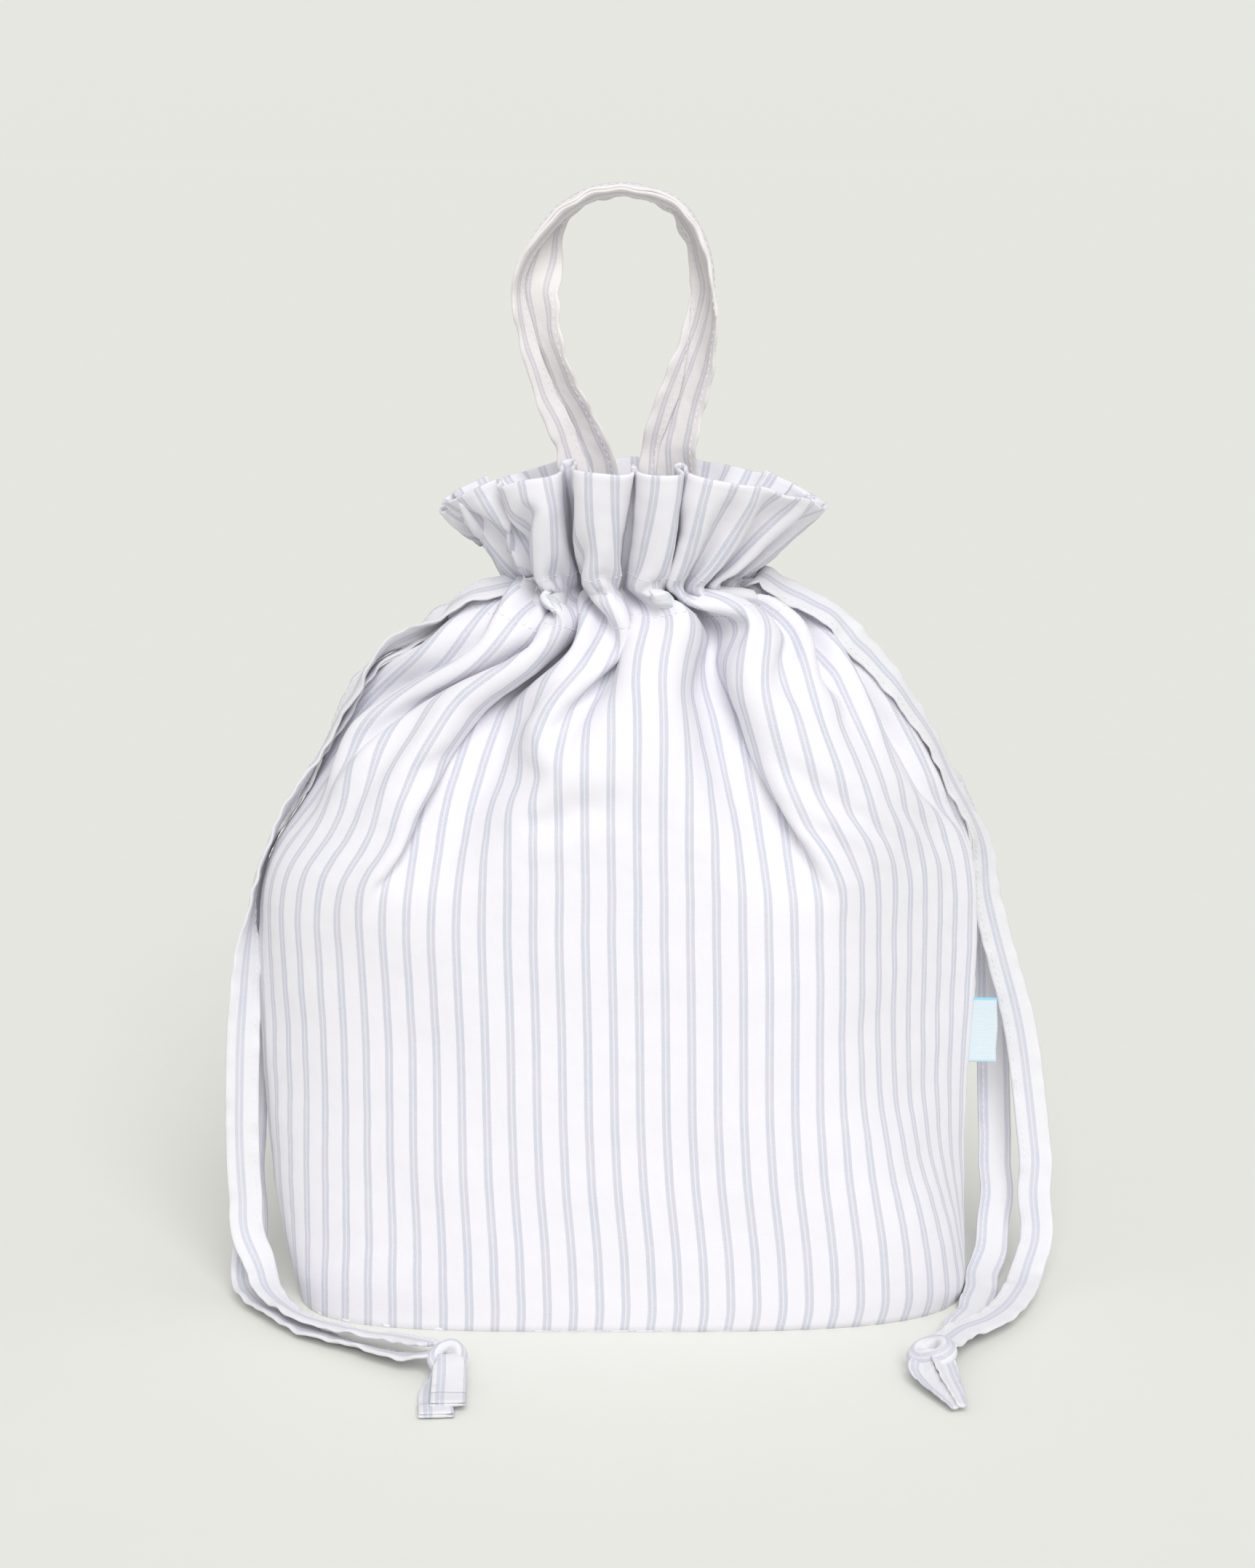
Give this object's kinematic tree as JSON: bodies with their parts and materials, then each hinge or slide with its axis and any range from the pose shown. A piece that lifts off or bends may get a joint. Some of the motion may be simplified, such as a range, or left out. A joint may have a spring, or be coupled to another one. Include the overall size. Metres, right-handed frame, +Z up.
{
  "type": "drawstring cooler bag",
  "caption": "Soft insulated lunch bag in striped cotton, gathered to a frilled neck by flat knotted drawstrings, with one carry loop.",
  "frame": {"origin": "middle of the flat base, on the surface the bag stands on", "axes": "+Z up, -Y towards the front, +X to the right as seen from the front"},
  "size_m": [0.3289, 0.2228, 0.432],
  "materials": {
    "cotton": "plain weave cotton, matt, striped",
    "tape": "folded and edge-stitched cotton tape, matt, striped",
    "strap": "folded and edge-stitched cotton strap, matt, striped",
    "foam": "closed-cell foam, matt",
    "film": "silvered film, satin",
    "binding": "cotton binding, matt",
    "label": "fine woven label, slight sheen",
    "thread": "sewing thread"
  },
  "bodies": {
    "bag": {"outer_base_panel": "cotton", "outer_front_panel": "cotton", "outer_back_panel": "cotton", "side_seam_right": "binding", "side_seam_left": "binding", "foam_base": "foam", "foam_front": "foam", "foam_back": "foam", "foam_right": "foam", "foam_left": "foam", "lining_base": "film", "lining_front": "film", "lining_back": "film", "liner_binding_front": "binding", "liner_binding_back": "binding", "shoulder_front": "cotton", "shoulder_back": "cotton", "channel_back": "cotton", "channel_facing_back": "cotton", "left_tape_run_back": "tape", "right_tape_run_back": "tape", "frill_back": "cotton", "handle_end_left": "strap", "handle_end_right": "strap", "handle_tack_left": "thread", "handle_tack_right": "thread"},
    "mouth_front": {"channel_front": "cotton", "channel_facing_front": "cotton", "left_tape_run_front": "tape", "right_tape_run_front": "tape", "frill_front": "cotton"},
    "handle": {"handle_strap": "strap"},
    "left_drawstring": {"left_strand_front": "tape", "left_strand_back": "tape", "left_knot": "tape", "left_tail_lower": "tape", "left_tail_upper": "tape"},
    "right_drawstring": {"right_strand_front": "tape", "right_strand_back": "tape", "right_knot": "tape", "right_tail_lower": "tape", "right_tail_upper": "tape"},
    "label": {"side_label": "label"}
  },
  "joints": [
    {"name": "mouth_open", "type": "slide", "parent": "bag", "child": "mouth_front", "axis": [0, -1, 0], "range_m": [0, 0.045], "deforming": ["shoulder_front"]},
    {"name": "handle_fold", "type": "hinge", "parent": "bag", "child": "handle", "pos_m": [-0.002, 0.02, 0.3313], "axis": [1, 0, 0], "range_deg": [-80, 80]},
    {"name": "left_drawstring_swing", "type": "hinge", "parent": "bag", "child": "left_drawstring", "pos_m": [-0.0456, 0, 0.279], "axis": [0, 1, 0], "range_deg": [0, 55]},
    {"name": "right_drawstring_swing", "type": "hinge", "parent": "bag", "child": "right_drawstring", "pos_m": [0.0456, 0.0045, 0.2805], "axis": [0, -1, 0], "range_deg": [0, 55]},
    {"name": "label_bend", "type": "hinge", "parent": "bag", "child": "label", "pos_m": [0.1362, 0, 0.101], "axis": [0, 0, 1], "range_deg": [-60, 60]}
  ]
}
